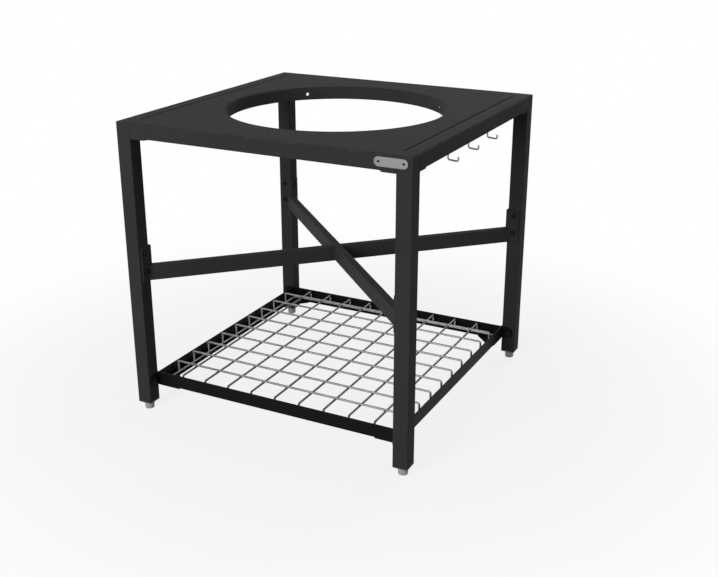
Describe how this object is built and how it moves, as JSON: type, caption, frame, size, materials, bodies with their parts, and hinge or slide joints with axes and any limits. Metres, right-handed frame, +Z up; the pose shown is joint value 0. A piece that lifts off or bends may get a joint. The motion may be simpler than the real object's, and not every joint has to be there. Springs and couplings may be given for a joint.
{
  "type": "grill frame",
  "caption": "Square black steel outdoor frame with a round collared opening for a kettle-shaped grill, crossed braces, a loose wire shelf, levelling feet and sliding tool hooks.",
  "frame": {"origin": "on the floor, under the centre of the round opening", "axes": "+X to the right along the front edge, +Y to the back, +Z up along the opening's axis; the bare plate faces -Y and the hooks hang at +X"},
  "size_m": [0.76, 0.7627, 0.75],
  "materials": {
    "black_coat": "matte, finely textured black powder coat",
    "satin_black": "smooth satin black paint, darker than the coat",
    "black_plastic": "matte black moulded plastic",
    "grey_plastic": "matte light grey moulded plastic",
    "zinc_wire": "drawn steel wire with a satin zinc finish",
    "zinc_steel": "zinc-plated threaded steel",
    "plate_metal": "satin brushed, blank",
    "black_fastener": "black oxide"
  },
  "bodies": {
    "frame": {"top_pan": "black_coat", "side_channel_left": "black_coat", "side_channel_right": "black_coat", "brace_through": "black_coat", "brace_half_fl": "black_coat", "brace_half_br": "black_coat", "shelf_rail_front": "satin_black", "shelf_rail_back": "satin_black", "shelf_rail_left": "satin_black", "shelf_rail_right": "satin_black", "leg_fl": "black_coat", "top_corner_fl": "black_coat", "brace_bracket_fl": "black_coat", "shelf_gusset_fl": "satin_black", "leg_cap_fl": "black_plastic", "leg_fr": "black_coat", "top_corner_fr": "black_coat", "brace_bracket_fr": "black_coat", "shelf_gusset_fr": "satin_black", "leg_cap_fr": "black_plastic", "leg_bl": "black_coat", "top_corner_bl": "black_coat", "brace_bracket_bl": "black_coat", "shelf_gusset_bl": "satin_black", "leg_cap_bl": "black_plastic", "leg_br": "black_coat", "top_corner_br": "black_coat", "brace_bracket_br": "black_coat", "shelf_gusset_br": "satin_black", "leg_cap_br": "black_plastic", "nameplate": "plate_metal", "nameplate_screws": "black_fastener", "top_bolts": "black_fastener", "shelf_bolts": "black_fastener", "brace_bolts": "black_fastener", "gusset_rivets": "black_fastener"},
    "foot_fl": {"foot_fl": "grey_plastic", "foot_stud_fl": "zinc_steel"},
    "foot_fr": {"foot_fr": "grey_plastic", "foot_stud_fr": "zinc_steel"},
    "foot_bl": {"foot_bl": "grey_plastic", "foot_stud_bl": "zinc_steel"},
    "foot_br": {"foot_br": "grey_plastic", "foot_stud_br": "zinc_steel"},
    "wire_shelf": {"wire_shelf": "zinc_wire"},
    "hook_front": {"hook_front": "zinc_wire"},
    "hook_middle": {"hook_middle": "zinc_wire"},
    "hook_back": {"hook_back": "zinc_wire"}
  },
  "joints": [
    {"name": "foot_fl_screw", "type": "slide", "parent": "frame", "child": "foot_fl", "axis": [0, 0, -1], "range_m": [0, 0.015]},
    {"name": "foot_fr_screw", "type": "slide", "parent": "frame", "child": "foot_fr", "axis": [0, 0, -1], "range_m": [0, 0.015]},
    {"name": "foot_bl_screw", "type": "slide", "parent": "frame", "child": "foot_bl", "axis": [0, 0, -1], "range_m": [0, 0.015]},
    {"name": "foot_br_screw", "type": "slide", "parent": "frame", "child": "foot_br", "axis": [0, 0, -1], "range_m": [0, 0.015]},
    {"name": "shelf_lift", "type": "slide", "parent": "frame", "child": "wire_shelf", "axis": [0, 0, 1], "range_m": [0, 0.06]},
    {"name": "hook_front_slide", "type": "slide", "parent": "frame", "child": "hook_front", "axis": [0, 1, 0], "range_m": [-0.03, 0.03]},
    {"name": "hook_middle_slide", "type": "slide", "parent": "frame", "child": "hook_middle", "axis": [0, 1, 0], "range_m": [-0.03, 0.03]},
    {"name": "hook_back_slide", "type": "slide", "parent": "frame", "child": "hook_back", "axis": [0, 1, 0], "range_m": [-0.03, 0.03]}
  ]
}
